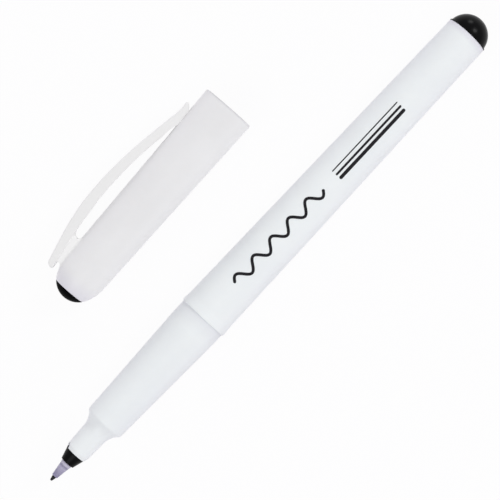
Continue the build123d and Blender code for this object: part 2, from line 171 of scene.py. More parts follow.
def rounded(*corners):
    """A chain of points (station, radius) from corners (station, radius, rounding).

    The arc in a corner starts rounding / tan(half the corner's angle) before it, and its points are
    the start turned about the arc's centre. The first and last corner stay as they are.
    """
    corner = np.array([c if len(c) == 3 else (*c, 0.0) for c in corners])
    place, rounding = corner[:, :2], corner[1:-1, 2]
    step = np.diff(place, axis=0)
    length = np.linalg.norm(step, axis=1)
    unit = step / length[:, None]
    back, ahead = -unit[:-1], unit[1:]
    half = np.arccos(np.clip((back * ahead).sum(1), -1, 1)) / 2
    reach = rounding / np.tan(half)
    spare = length - np.append(0, reach) - np.append(reach, 0)
    support = np.minimum(SUPPORT, spare / 3)
    middle = back + ahead
    middle /= np.linalg.norm(middle, axis=1)[:, None] + TINY
    centre = place[1:-1] + middle * (rounding / np.sin(half))[:, None]
    start = place[1:-1] + back * reach[:, None] - centre
    side = np.sign(ahead[:, 0] * back[:, 1] - ahead[:, 1] * back[:, 0])
    angle = (side * (np.pi - 2 * half))[:, None] * np.linspace(0, 1, CORNER_POINTS)
    turned_x = start[:, :1] * np.cos(angle) - start[:, 1:] * np.sin(angle)
    turned_r = start[:, :1] * np.sin(angle) + start[:, 1:] * np.cos(angle)
    arcs = centre[:, None] + np.stack([turned_x, turned_r], -1)
    before = place[1:-1] + back * (reach + support[:-1])[:, None]
    after = place[1:-1] + ahead * (reach + support[1:])[:, None]
    rows = np.concatenate([before[:, None], arcs, after[:, None]], 1).reshape(-1, 2)
    return np.concatenate([place[:1], rows, place[-1:]])


print("one rounded corner has", len(rounded((0, 1), (1, 1, 0.2), (1, 0))) - 2, "points")

# %% Arcs and turning
CURVE_POINTS = 25
COLUMNS = 192


def tangent_arc(start, slope, end):
    """Points of the arc that leaves start with a slope and arrives at end.

    Its centre lies on the normal at start, at the distance chord^2 / (2 * chord . normal).
    """
    start, end = np.array(start), np.array(end)
    normal = np.array([-slope, 1.0]) / np.hypot(slope, 1.0)
    chord = end - start
    radius = chord @ chord / (2 * chord @ normal)
    centre = start + radius * normal
    first, last = (np.arctan2(*(place - centre)[::-1]) for place in (start, end))
    angle = first + np.linspace(0, 1, CURVE_POINTS) * ((last - first + np.pi) % (2 * np.pi) - np.pi)
    return centre + abs(radius) * np.stack([np.cos(angle), np.sin(angle)], -1)


def lathe(line, profile, columns=COLUMNS):
    """A profile turned about an axis: across = r cos(angle), up = r sin(angle)."""
    angle = np.linspace(0, 2 * np.pi, columns, endpoint=False)
    x, r = profile[:, :1], profile[:, 1:]
    return on_line(line, x, r * np.cos(angle), r * np.sin(angle))


# %% [markdown]
# ## Materials
#
# The pen is nearly all polypropylene, moulded in white and in black. A moulded surface copies its
# mould: satin where the steel was sandblasted, glossy where it was polished. Inside the plastic, cloudy
# flow changes the shade a little, and white plastic lets some light sink in. Painted pictures could show
# this, but noise that is sized in millimetres needs no picture and fits any piece. One function builds
# this family from its colours, its gloss and the size of its grain. A second one builds what is soaked
# or printed with ink: a dark grain, which may be stretched along the pen like a fibre.

# %% Material helpers
def linear(hex_colour):
    """An sRGB hex colour as linear red, green, blue and alpha.

    A share c of full brightness becomes ((c + 0.055) / 1.055)^2.4, or c / 12.92 where it is very dark.
    """
    srgb = np.array([int(hex_colour[k:k + 2], 16) for k in (1, 3, 5)]) / 255
    return (*np.where(srgb <= 0.04045, srgb / 12.92, ((srgb + 0.055) / 1.055) ** 2.4), 1.0)


def add_node(tree, kind, inputs, **settings):
    """A node with its settings; inputs maps a socket to a value or to another node's output."""
    node = tree.nodes.new(kind)
    for name, value in settings.items():
        setattr(node, name, value)
    for socket, value in inputs.items():
        if isinstance(value, bpy.types.NodeSocket):
            tree.links.new(value, node.inputs[socket])
        else:
            node.inputs[socket].default_value = value
    return node


def new_tree(name):
    """An empty material and its node tree."""
    material = bpy.data.materials.new(name)
    material.use_nodes = True
    material.node_tree.nodes.clear()
    return material, material.node_tree


def per_mm(size):
    """The texture scale at which one feature of a pattern is size millimetres."""
    return 1 / (size * MM)


print("middle grey in linear light:", round(float(linear("#808080")[0]), 3))

# %% Moulded plastic
CLOUD_MM, CLOUD_STOPS, CLOUD_GLOSS = 14, (0.35, 0.65), (0.3, 0.7)
PLASTIC_IOR, GLOW_MM, GLOW_SPREAD = 1.49, 1.2, (1.0, 0.95, 0.9)


def moulded_plastic(name, light, deep, gloss, grain_mm, grain_depth_mm, glow, mirror=0.5, chalk=0):
    """Moulded plastic: two close shades in clouds, a roughness range and a fine grain.

    glow is the share of the light that sinks into the plastic and comes out some GLOW_MM away. mirror
    is how much the surface reflects, where 0.5 is what its refraction alone gives. chalk makes the
    shade more even towards the edges of a round piece.
    """
    material, tree = new_tree(name)
    place = add_node(tree, "ShaderNodeTexCoord", {}).outputs["Object"]
    cloud = add_node(tree, "ShaderNodeTexNoise", {
        "Vector": place, "Scale": per_mm(CLOUD_MM), "Detail": 3})
    grain = add_node(tree, "ShaderNodeTexNoise", {
        "Vector": place, "Scale": per_mm(grain_mm), "Detail": 2})
    shade = add_node(tree, "ShaderNodeValToRGB", {"Fac": cloud.outputs["Fac"]})
    for element, where, colour in zip(shade.color_ramp.elements, CLOUD_STOPS, (deep, light)):
        element.position, element.color = where, linear(colour)
    rough = add_node(tree, "ShaderNodeMapRange", {
        "Value": cloud.outputs["Fac"], "From Min": CLOUD_GLOSS[0], "From Max": CLOUD_GLOSS[1],
        "To Min": gloss[0], "To Max": gloss[1]})
    relief = add_node(tree, "ShaderNodeBump", {
        "Height": grain.outputs["Fac"], "Strength": 1.0, "Distance": grain_depth_mm * MM})
    surface = add_node(tree, "ShaderNodeBsdfPrincipled", {
        "Base Color": shade.outputs["Color"], "Roughness": rough.outputs["Result"], "IOR": PLASTIC_IOR,
        "Diffuse Roughness": chalk, "Specular IOR Level": mirror, "Normal": relief.outputs["Normal"],
        "Subsurface Weight": glow, "Subsurface Radius": GLOW_SPREAD, "Subsurface Scale": GLOW_MM * MM})
    add_node(tree, "ShaderNodeOutputMaterial", {"Surface": surface.outputs["BSDF"]})
    return material


# %% Inked things
INK_IOR, INK_MIRROR = 1.45, 0.25


def inked(name, dark, pale, grain_mm, stretch, depth_mm, roughness):
    """Something soaked or printed with ink: dark shades in a grain that may be stretched along X."""
    material, tree = new_tree(name)
    place = add_node(tree, "ShaderNodeTexCoord", {}).outputs["Object"]
    drawn = add_node(tree, "ShaderNodeMapping", {"Vector": place, "Scale": (1 / stretch, 1, 1)})
    grain = add_node(tree, "ShaderNodeTexNoise", {
        "Vector": drawn.outputs["Vector"], "Scale": per_mm(grain_mm)})
    shade = add_node(tree, "ShaderNodeValToRGB", {"Fac": grain.outputs["Fac"]})
    shade.color_ramp.elements[0].color, shade.color_ramp.elements[1].color = linear(dark), linear(pale)
    relief = add_node(tree, "ShaderNodeBump", {
        "Height": grain.outputs["Fac"], "Distance": depth_mm * MM})
    surface = add_node(tree, "ShaderNodeBsdfPrincipled", {
        "Base Color": shade.outputs["Color"], "Roughness": roughness, "IOR": INK_IOR,
        "Specular IOR Level": INK_MIRROR, "Normal": relief.outputs["Normal"]})
    add_node(tree, "ShaderNodeOutputMaterial", {"Surface": surface.outputs["BSDF"]})
    return material


# %% [markdown]
# ## The finishes of the mouldings
#
# The barrel is a cool white and the cap a neutral one: they come from two moulds and two batches. Both
# are satin, and the cap is the chalkier of the two. The clip and the web under it are thin, and light
# that comes through thin white plastic makes it look paler. Light that really sinks into such thin pieces
# renders with specks, so that light is painted instead: each has a paler white of its own. The nose and
# the rear plug are a polished black that shows a soft, dim lamp, and the cap's plug is a deeper black
# from a blasted mould. The sealing sleeve inside the cap is polyethylene, softer and waxier. A real grain
# of a few hundredths of a millimetre would not show in a picture of this size, so each is drawn some
# times coarser.

# %% White mouldings
# Satin white polypropylene, blue-white: even, soft edges, no hard reflections
barrel_white = moulded_plastic(
    "polypropylene_moulded_cool_white", light="#F2F6F6", deep="#EEF2F3", gloss=(0.36, 0.44),
    grain_mm=0.5, grain_depth_mm=0.0035, glow=0.12)
# Satin white polypropylene, neutral and chalky: duller than the barrel, and even up to its edges
cap_white = moulded_plastic(
    "polypropylene_moulded_neutral_white", light="#F3F3F3", deep="#F0F0F0", gloss=(0.36, 0.44),
    grain_mm=0.5, grain_depth_mm=0.0035, glow=0.12, chalk=0.9)
# Thin white polypropylene of the clip, as chalky as the cap: a shade paler as painted light through it
clip_white = moulded_plastic(
    "polypropylene_moulded_thin_white_painted_glow", light="#F5F5F4", deep="#F3F3F2", gloss=(0.34, 0.42),
    grain_mm=0.5, grain_depth_mm=0.0035, glow=0.0, chalk=0.9)
# Thin white polypropylene of the web under the clip, chalky: the palest white, painted light through it
web_white = moulded_plastic(
    "polypropylene_moulded_pale_white_painted_glow", light="#FAFAF9", deep="#F7F7F6", gloss=(0.36, 0.44),
    grain_mm=0.5, grain_depth_mm=0.0035, glow=0.0, chalk=0.9)
print("whites:", barrel_white.name, cap_white.name, clip_white.name, web_white.name)

# %% Black mouldings and the seal
# Polished black polypropylene: near black, with one broad dim reflection
plug_black = moulded_plastic(
    "polypropylene_moulded_polished_black", light="#0B0B0C", deep="#080809", gloss=(0.2, 0.26),
    grain_mm=0.4, grain_depth_mm=0.002, glow=0.0, mirror=0.08)
# The same black from a blasted mould, for the cap's plug: deeper, with hardly any reflection
plug_deep = moulded_plastic(
    "polypropylene_moulded_blasted_black", light="#080809", deep="#060607", gloss=(0.42, 0.5),
    grain_mm=0.4, grain_depth_mm=0.003, glow=0.0, mirror=0.01)
# Milky polyethylene of the seal: waxy and soft-edged
seal_white = moulded_plastic(
    "polyethylene_moulded_milky", light="#E9E9EA", deep="#E2E2E4", gloss=(0.42, 0.52),
    grain_mm=0.6, grain_depth_mm=0.004, glow=0.2)
print("others:", plug_black.name, plug_deep.name, seal_white.name)

# %% [markdown]
# ## The barrel
#
# One moulded tube: a neck that takes the black nose, a hollow-curved shoulder, the grip as a long cone,
# a short seat that the cap grips, a stop rim, and a long tube that tapers to the rear. Cylinders and
# Boolean cuts could make it. Turning one closed profile, outside and bore, is cleaner: it gives a wall
# with real thickness, and every edge has its radius. The neck's rim has two V-shaped vent notches: a
# point in front of a notch's edge is simply moved back to that edge.

# %% Barrel sizes
NECK_X, NECK_FRONT_R, NECK_BORE_R = 7.62, 2.35, 2.0
LEAD_X, LEAD_R = 8.52, 2.68
SHOULDER_X, NECK_R = 13.3, 2.85
GRIP_X, GRIP_R = 16.65, 4.5
THROAT_X, THROAT_R = 19.65, 3.5
SEAT_X, SEAT_R = 43.85, 5.44
RIM_X, RIM_R = 47.05, 5.725
TUBE_X, TUBE_R = 48.32, 5.605
RIM_END_X, RIM_FADE_X = 47.6, 49.3
FLANGE_X, TUBE_END_R = 128.9, 4.8
REAR_BORE_X, REAR_BORE_R = 121.9, 3.85
BORE_MIDDLE = (60.0, 3.64)


def tube_radius(x):
    """Outer radius of the tapered tube at a station: a straight line from TUBE_R to TUBE_END_R."""
    return TUBE_R + (TUBE_END_R - TUBE_R) * (x - TUBE_X) / (FLANGE_X - TUBE_X)


print("tube radius half way:", round(tube_radius((TUBE_X + FLANGE_X) / 2), 4), "mm")

# %% Barrel profile
# So many points at the end of the shoulder's arc give way to the rounding of the grip's corner
GRIP_CUT = 6
neck_slope = (NECK_R - LEAD_R) / (SHOULDER_X - LEAD_X)
shoulder = tangent_arc((SHOULDER_X, NECK_R), neck_slope, (GRIP_X, GRIP_R))
neck = rounded(
    BORE_MIDDLE, (THROAT_X, THROAT_R, 0.3), (SHOULDER_X, NECK_BORE_R, 0.3), (NECK_X, NECK_BORE_R, 0.05),
    (NECK_X, NECK_FRONT_R, 0.08), (LEAD_X, LEAD_R, 0.4), shoulder[0])
tube = rounded(
    shoulder[-GRIP_CUT], (GRIP_X, GRIP_R, 0.9), (SEAT_X, SEAT_R, 6.0), (RIM_X, SEAT_R, 0.12),
    (RIM_X, RIM_R, 0.15), (RIM_END_X, RIM_R, 3.0), (RIM_FADE_X, tube_radius(RIM_FADE_X), 4.0),
    (FLANGE_X, TUBE_END_R, 0.2), (FLANGE_X, REAR_BORE_R, 0.1), (REAR_BORE_X, REAR_BORE_R, 0.3),
    BORE_MIDDLE)
barrel_profile = np.concatenate([neck, shoulder[:-GRIP_CUT], tube])
print("barrel profile:", len(barrel_profile), "points")

# %% Barrel with its vent notches
VENT_ANGLES = np.radians([22.0, 202.0])
VENT_WIDTH, VENT_LENGTH = 1.1, 1.25
BARREL_COLUMNS = 320


def notch_edge(angle):
    """How far a vent reaches into the neck at an angle: length * (1 - distance / half the width)."""
    from_vent = np.abs((angle[:, None] - VENT_ANGLES + np.pi) % (2 * np.pi) - np.pi).min(1)
    return VENT_LENGTH * (1 - from_vent * LEAD_R / (VENT_WIDTH / 2))


barrel_angle = np.linspace(0, 2 * np.pi, BARREL_COLUMNS, endpoint=False)
x, r = barrel_profile[:, :1], barrel_profile[:, 1:]
x = np.maximum(x, NECK_X + notch_edge(barrel_angle))
barrel = make_piece("barrel_skin", barrel_white,
                    on_line(pen_line, x, r * np.cos(barrel_angle), r * np.sin(barrel_angle)))
belongs(barrel, "pen", "white_moulding", "barrel")

# %% [markdown]
# ## Greys, painted shade and ink
#
# Some places are greyer than the rest. The seat turns a little grey towards the rim, and painted shade
# darkens the barrel's end next to the flange, the cap's mouth and the cap's end next to its plug. This
# could be painted by hand, but such a grey grows along the axis, so a ramp between two stations, mixed
# into the finish, says the same. Ink has crept into the vents: the walls of a notch get a finish of
# dried ink, and the plastic round it a stain that fades with the distance.

# %% Tint helpers
def tinted(material, amount, colour):
    """Mixes a colour into a finish by an amount, which is the output of another node."""
    surface = next(node for node in material.node_tree.nodes if node.type == "BSDF_PRINCIPLED")
    base = surface.inputs["Base Color"]
    mix = add_node(material.node_tree, "ShaderNodeMixRGB", {
        "Fac": amount, "Color1": base.links[0].from_socket, "Color2": linear(colour)})
    material.node_tree.links.new(mix.outputs["Color"], base)


def greyed(material, line, start, end, colour):
    """A colour that grows from one station of an axis to another and stops there.

    The station of a place is its share along the axis: place . along.
    """
    tree = material.node_tree
    place = add_node(tree, "ShaderNodeTexCoord", {}).outputs["Object"]
    station = add_node(tree, "ShaderNodeVectorMath", {0: place, 1: line["along"]},
                       operation="DOT_PRODUCT")
    first, last = (on_line(line, s, 0, 0) @ line["along"] for s in (start, end))
    grown = add_node(tree, "ShaderNodeMapRange", {
        "Value": station.outputs["Value"], "From Min": first, "From Max": last})
    before = add_node(tree, "ShaderNodeMath", {0: station.outputs["Value"], 1: last},
                      operation="LESS_THAN" if start < end else "GREATER_THAN")
    amount = add_node(tree, "ShaderNodeMath", {0: grown.outputs["Result"], 1: before.outputs["Value"]},
                      operation="MULTIPLY")
    tinted(material, amount.outputs["Value"], colour)
    print(material.name, "rubbed from", start, "to", end)


# %% Grey seat and painted shade at the rear
# The seat turns a little grey towards the rim; at the rear end next to the flange the grey is painted
# shade
SEAT_GREYING, SEAT_GREY = (43.3, RIM_X), "#E8EBEE"
REAR_PAINTED_SHADE, REAR_SHADE_GREY = (127.2, FLANGE_X + 0.2), "#E0DFE8"
greyed(barrel_white, pen_line, *SEAT_GREYING, SEAT_GREY)
greyed(barrel_white, pen_line, *REAR_PAINTED_SHADE, REAR_SHADE_GREY)

# %% Ink in the vents
STAIN_REACH, STAIN_SHARE, STAIN_COLOUR = 1.1, 0.7, "#B4ADC4"
NOTCH_WALL = 0.02
for vent_angle in VENT_ANGLES:
    vent = on_line(pen_line, NECK_X, LEAD_R * np.cos(vent_angle), LEAD_R * np.sin(vent_angle))
    place = add_node(barrel_white.node_tree, "ShaderNodeTexCoord", {}).outputs["Object"]
    away = add_node(barrel_white.node_tree, "ShaderNodeVectorMath", {0: place, 1: vent},
                    operation="DISTANCE")
    stain = add_node(barrel_white.node_tree, "ShaderNodeMapRange", {
        "Value": away.outputs["Value"], "From Max": STAIN_REACH * MM,
        "To Min": STAIN_SHARE, "To Max": 0.0})
    tinted(barrel_white, stain.outputs["Result"], STAIN_COLOUR)
# Dried ink: violet-black and matt, it has crept into the notches
ink_dried = inked("ink_dried", dark="#17131F", pale="#2C2539",
                  grain_mm=0.3, stretch=1, depth_mm=0.01, roughness=0.6)
barrel.data.materials.append(ink_dried)
centre = np.empty(3 * len(barrel.data.polygons))
barrel.data.polygons.foreach_get("center", centre)
centre = (centre.reshape(-1, 3) - pen_line["origin"]) / MM
face_angle = np.arctan2(centre @ pen_line["up"], centre @ pen_line["across"])
in_notch = notch_edge(face_angle)
stained = (in_notch > 0) & (np.abs(centre @ pen_line["along"] - NECK_X - in_notch) < NOTCH_WALL)
barrel.data.polygons.foreach_set("material_index", stained.astype(np.int32))
print("stained faces:", int(stained.sum()))

# %% [markdown]
# ## The writing end
#
# The point is a capillary rod of bonded fibre, ground to a rounded tip. Single fibres could be drawn,
# but they are far thinner than a pixel, so the rod gets streaks that are stretched along it. It stands
# in a small cone of translucent plastic, whose collar sits on the black nose. Ink has crept into the
# cone and stained it violet-grey, most at the tip. A darker band just before the collar is painted
# shade and the paler collar a painted highlight of its step. All of it is a ramp along the pen.

# %% Fibre of the point
# Bonded acrylic fibre, ground: matt, wet black with streaks along the rod
nib_fibre = inked("acrylic_fibre_ground_inky", dark="#0B0B0E", pale="#222228",
                  grain_mm=0.12, stretch=7, depth_mm=0.01, roughness=0.55)
print("finish of the point:", nib_fibre.name)

# %% Finish of the sleeve
# Moulded acetal stained by ink: milky, violet-grey, darkest where the rod comes out
COLLAR_X, COLLAR_END_X, SLEEVE_X = 4.55, 5.05, 1.2
CREEP_MM, CREEP_SHARE = 0.9, 0.06
ACETAL_ROUGH, ACETAL_IOR = 0.35, 1.48
ACETAL_GLOW, ACETAL_GLOW_MM, ACETAL_SPREAD = 0.35, 0.8, (0.9, 0.85, 1.0)
# The dark band before the collar and the pale collar are painted shade and a painted highlight of its
# step
SLEEVE_STAIN_AND_PAINTED_STEP = ((0.1, "#8B87A3"), (0.68, "#B1ADC3"), (0.8, "#918DA5"), (0.9, "#CBC7D9"))
sleeve_acetal, tree = new_tree("acetal_moulded_ink_stained_painted_step")
place = add_node(tree, "ShaderNodeTexCoord", {}).outputs["Object"]
axes = add_node(tree, "ShaderNodeSeparateXYZ", {"Vector": place})
sleeve_start, sleeve_end = (on_line(pen_line, s, 0, 0)[0] for s in (SLEEVE_X, COLLAR_END_X))
along = add_node(tree, "ShaderNodeMapRange", {
    "Value": axes.outputs["X"], "From Min": sleeve_start, "From Max": sleeve_end})
creep = add_node(tree, "ShaderNodeTexNoise", {"Vector": place, "Scale": per_mm(CREEP_MM), "Detail": 2})
stain = add_node(tree, "ShaderNodeMath", {
    0: creep.outputs["Fac"], 1: CREEP_SHARE, 2: along.outputs["Result"]}, operation="MULTIPLY_ADD")
shade = add_node(tree, "ShaderNodeValToRGB", {"Fac": stain.outputs["Value"]})
stops = shade.color_ramp.elements
for where, colour in SLEEVE_STAIN_AND_PAINTED_STEP[1:-1]:
    stops.new(where).color = linear(colour)
for stop, (where, colour) in ((stops[0], SLEEVE_STAIN_AND_PAINTED_STEP[0]), (stops[-1], SLEEVE_STAIN_AND_PAINTED_STEP[-1])):
    stop.position, stop.color = where, linear(colour)
surface = add_node(tree, "ShaderNodeBsdfPrincipled", {
    "Base Color": shade.outputs["Color"], "Roughness": ACETAL_ROUGH, "IOR": ACETAL_IOR,
    "Subsurface Weight": ACETAL_GLOW, "Subsurface Radius": ACETAL_SPREAD,
    "Subsurface Scale": ACETAL_GLOW_MM * MM})
add_node(tree, "ShaderNodeOutputMaterial", {"Surface": surface.outputs["BSDF"]})
print("sleeve stain runs from", round(sleeve_start, 5), "to", round(sleeve_end, 5))

# %% Point
NIB_COLUMNS, POINT_ROWS = 64, 12
NIB_R, NIB_POINT_R, NIB_TAPER_X, NIB_END_X = 0.46, 0.28, 1.0, 30.0
point_angle = np.linspace(0, np.pi / 2, POINT_ROWS)
point = NIB_POINT_R * np.stack([1 - np.cos(point_angle), np.sin(point_angle)], -1)
nib_profile = np.concatenate([point[:-1], rounded(
    (NIB_POINT_R, NIB_POINT_R), (NIB_TAPER_X, NIB_R, 0.4), (NIB_END_X, NIB_R, 0.1), (NIB_END_X, 0))])
nib = make_piece("nib_rod", nib_fibre, lathe(pen_line, nib_profile, NIB_COLUMNS))
belongs(nib, "pen", "nib_fibre", "nib")

# %% Sleeve
SLEEVE_COLUMNS = 96
SLEEVE_BORE_R, SLEEVE_TIP_R, SLEEVE_CONE_R, COLLAR_R, STEM_R = 0.5, 0.68, 1.17, 1.25, 0.95
SLEEVE_STEM_LENGTH = 8.0
SLEEVE_END_X = COLLAR_END_X + SLEEVE_STEM_LENGTH
SLEEVE_BORE_MIDDLE = (8.0, SLEEVE_BORE_R)
sleeve_profile = rounded(
    SLEEVE_BORE_MIDDLE, (SLEEVE_X, SLEEVE_BORE_R, 0.03), (SLEEVE_X, SLEEVE_TIP_R, 0.08),
    (COLLAR_X, SLEEVE_CONE_R, 0.03), (COLLAR_X, COLLAR_R, 0.05), (COLLAR_END_X, COLLAR_R, 0.06),
    (COLLAR_END_X, STEM_R, 0.03), (SLEEVE_END_X, STEM_R, 0.05), (SLEEVE_END_X, SLEEVE_BORE_R, 0.03),
    SLEEVE_BORE_MIDDLE)
sleeve = make_piece("nib_sleeve_skin", sleeve_acetal, lathe(pen_line, sleeve_profile, SLEEVE_COLUMNS))
belongs(sleeve, "pen", "stained_sleeve", "nib_sleeve")

# %% Nose
HOLDER_COLUMNS = 128
NOSE_X, NOSE_FRONT_R, NOSE_R = COLLAR_END_X + 0.06, 1.6, 2.33
HOLDER_BORE_R, HOLDER_STEM_R, HOLDER_TAIL_R, HOLDER_END_X = 0.98, 1.87, 1.4, 19.5
HOLDER_BORE_MIDDLE = (9.0, HOLDER_BORE_R)
holder_profile = rounded(
    HOLDER_BORE_MIDDLE, (COLLAR_END_X, HOLDER_BORE_R, 0.03), (COLLAR_END_X, COLLAR_R, 0.02),
    (NOSE_X, NOSE_FRONT_R, 0.06), (NECK_X, NOSE_R, 0.08), (NECK_X, HOLDER_STEM_R, 0.03),
    (SHOULDER_X, HOLDER_STEM_R, 0.05), (SHOULDER_X, HOLDER_TAIL_R, 0.05),
    (HOLDER_END_X, HOLDER_TAIL_R, 0.1), (HOLDER_END_X, SLEEVE_BORE_R, 0.03),
    (SLEEVE_END_X, SLEEVE_BORE_R, 0.03), (SLEEVE_END_X, HOLDER_BORE_R, 0.03), HOLDER_BORE_MIDDLE)
holder = make_piece("nib_holder_skin", plug_black, lathe(pen_line, holder_profile, HOLDER_COLUMNS))
belongs(holder, "pen", "black_moulding", "nib_holder")

# %% [markdown]
# ## The rear plug
#
# A black dome with a thin flange that rests on the barrel's end, and a hollow stem inside the tube. Half
# a sphere on a disc could stand for it. But the dome is a ball's cap, so one arc in a turned profile
# gives it, and corners as before give the flange and the stem in the same piece.

# %% Rear plug
DOME_X, DOME_R, FLANGE_R, PLUG_END_X = 129.15, 4.61, 4.83, 133.35
PLUG_STEM_X, PLUG_STEM_R, PLUG_BORE_R = 121.9, 3.74, 3.24
dome_height = PLUG_END_X - DOME_X
ball_r = (DOME_R**2 + dome_height**2) / (2 * dome_height)
dome_angle = np.linspace(0, np.arctan2(DOME_R, ball_r - dome_height), CURVE_POINTS)
dome = np.stack([PLUG_END_X - ball_r * (1 - np.cos(dome_angle)), ball_r * np.sin(dome_angle)], -1)
plug_profile = np.concatenate([dome[:-2], rounded(
    dome[-2], (DOME_X, DOME_R, 0.04), (DOME_X, FLANGE_R, 0.08), (FLANGE_X, FLANGE_R, 0.06),
    (FLANGE_X, PLUG_STEM_R, 0.03), (PLUG_STEM_X, PLUG_STEM_R, 0.1), (PLUG_STEM_X, PLUG_BORE_R, 0.05),
    (DOME_X, PLUG_BORE_R, 0.2), (DOME_X, 0))])
rear_plug = make_piece("rear_plug_skin", plug_black, lathe(pen_line, plug_profile))
belongs(rear_plug, "pen", "black_moulding", "rear_plug")

# %% [markdown]
# ## The cap
#
# A tapered shell whose closed end is drawn in like a shoulder, with a black plug in its hole and a seal
# inside. A Solidify modifier could give the shell its wall, but the real wall is thicker at the closed
# end than at the mouth, so it is one closed profile again: outside, mouth, bore, end wall. The seal is a
# cup with fins, and each fin is a small box that reaches from the cup to just short of the shell's bore.

# %% Cap shell
CAP_MOUTH_X, CAP_MOUTH_R, CAP_BORE_R = 53.15, 6.0, 5.48
CAP_SHOULDER_X, CAP_SHOULDER_R = 6.7, 5.2666
CAP_SLOPE = (CAP_MOUTH_R - CAP_SHOULDER_R) / (CAP_MOUTH_X - CAP_SHOULDER_X)
CAP_PLUG_X, CAP_PLUG_R, CAP_HOLE_R = 1.8, 3.69, 2.53
CAP_FLOOR_X, CAP_FLOOR_R = 3.57, 3.717
CAP_SHOULDER_BORE_R, CAP_GRIP_X = 4.367, 49.55
CAP_BORE_BEND, CAP_BORE_MIDDLE = (22.75, 4.62), (36.15, 5.05)


def cap_radius(x):
    """Outer radius of the cap's tapered body at a station: a straight line to its mouth."""
    return CAP_MOUTH_R - CAP_SLOPE * (CAP_MOUTH_X - x)


cap_end = tangent_arc((CAP_SHOULDER_X, CAP_SHOULDER_R), CAP_SLOPE, (CAP_PLUG_X, CAP_PLUG_R))
outside = rounded(
    CAP_BORE_MIDDLE, (CAP_GRIP_X, CAP_BORE_R, 2.0), (CAP_MOUTH_X, CAP_BORE_R, 0.1),
    (CAP_MOUTH_X, CAP_MOUTH_R, 0.3), cap_end[0])
inside = rounded(
    cap_end[-2], (CAP_PLUG_X, CAP_PLUG_R, 0.06), (CAP_PLUG_X, CAP_HOLE_R, 0.03),
    (CAP_FLOOR_X, CAP_HOLE_R, 0.05), (CAP_FLOOR_X, CAP_FLOOR_R, 0.1),
    (CAP_SHOULDER_X, CAP_SHOULDER_BORE_R, 0.3), (*CAP_BORE_BEND, 2.0), CAP_BORE_MIDDLE)
cap_profile = np.concatenate([outside, cap_end[1:-2], inside])
cap_shell = make_piece("cap_shell_skin", cap_white, lathe(cap_line, cap_profile))
belongs(cap_shell, "cap", "white_moulding", "cap_shell")

# %% Cap plug
CAP_STEM_R, CAP_STEM_X, CAP_PLUG_COLUMNS = 2.5, 3.47, 128
head_r = (CAP_PLUG_R**2 + CAP_PLUG_X**2) / (2 * CAP_PLUG_X)
head_angle = np.linspace(0, np.arcsin(CAP_PLUG_R / head_r), CURVE_POINTS)
head = head_r * np.stack([1 - np.cos(head_angle), np.sin(head_angle)], -1)
cap_plug_profile = np.concatenate([head[:-1], rounded(
    head[-2], (CAP_PLUG_X, CAP_PLUG_R, 0.08), (CAP_PLUG_X, CAP_STEM_R, 0.03),
    (CAP_STEM_X, CAP_STEM_R, 0.1), (CAP_STEM_X, 0))])
cap_plug = make_piece("cap_plug_skin", plug_deep, lathe(cap_line, cap_plug_profile, CAP_PLUG_COLUMNS))
belongs(cap_plug, "cap", "black_moulding", "cap_plug")

# %% Painted shade on the cap
# Painted shade: a grey line at the cap's mouth, and a lavender grey at its end next to the plug
MOUTH_PAINTED_SHADE, MOUTH_SHADE_GREY = (52.7, 53.2), "#CBCBCD"
END_PAINTED_SHADE, END_SHADE_GREY = (5.5, 1.5), "#EBEAF0"
greyed(cap_white, cap_line, *MOUTH_PAINTED_SHADE, MOUTH_SHADE_GREY)
greyed(cap_white, cap_line, *END_PAINTED_SHADE, END_SHADE_GREY)

# %% Cup of the seal
SEAL_COLUMNS = 128
SEAL_FOOT_R, SEAL_R, SEAL_BORE_R, SEAL_FLOOR_X, SEAL_MOUTH_X = 3.67, 3.68, 2.88, 4.9, 18.9
seal_profile = rounded(
    (CAP_FLOOR_X, 0), (CAP_FLOOR_X, SEAL_FOOT_R, 0.1), (SEAL_FLOOR_X, SEAL_R, 0.1),
    (SEAL_MOUTH_X, SEAL_R, 0.12), (SEAL_MOUTH_X, SEAL_BORE_R, 0.25), (SEAL_FLOOR_X, SEAL_BORE_R, 0.4),
    (SEAL_FLOOR_X, 0))
seal_cup = lathe(cap_line, seal_profile, SEAL_COLUMNS)
print("seal cup:", seal_cup.shape[0], "rings")

# %% Seal with its fins
FIN_COUNT, FIN_THICKNESS, FIN_START_X, FIN_END_X = 6, 0.8, 6.7, 13.7
FIN_ROOT_R, FIN_START_R, FIN_END_R = 3.3, 4.32, 4.43


def seal_fin(angle):
    """A flat box from root to bore: a rectangle around it at each of four rows, closed at both ends."""
    x = np.array([FIN_START_X, FIN_START_X, FIN_END_X, FIN_END_X])[:, None]
    low = np.full((4, 1), FIN_ROOT_R)
    high = np.array([FIN_START_R, FIN_START_R, FIN_END_R, FIN_END_R])[:, None]
    closed = np.array([0, 1, 1, 0])[:, None]
    r = low + (high - low) * np.array([0, 1, 1, 0])
    side = FIN_THICKNESS / 2 * closed * np.array([-1, -1, 1, 1])
    across = r * np.cos(angle) - side * np.sin(angle)
    up = r * np.sin(angle) + side * np.cos(angle)
    return on_line(cap_line, x, across, up)


fin_angles = (np.arange(FIN_COUNT) + 0.5) * 2 * np.pi / FIN_COUNT
seal = make_piece("inner_cap_skin", seal_white, seal_cup, *(seal_fin(a) for a in fin_angles))
belongs(seal, "cap", "seal_moulding", "inner_cap")

# %% [markdown]
# ## The pocket clip
#
# The clip is one band of plastic that starts as a short tail beyond its root, rises over the cap to a
# crest, and comes down to a pad that presses on the cloth of a pocket, with a flared lip that lets the
# cloth in. A curve with a bevel could draw it, but its thickness changes all the way. So its outline is
# two smooth curves over the axis, the inner and the outer one. They run through a few stations, and
# both ends are drawn round.

# %% Curve helpers
CROWDING = 0.9


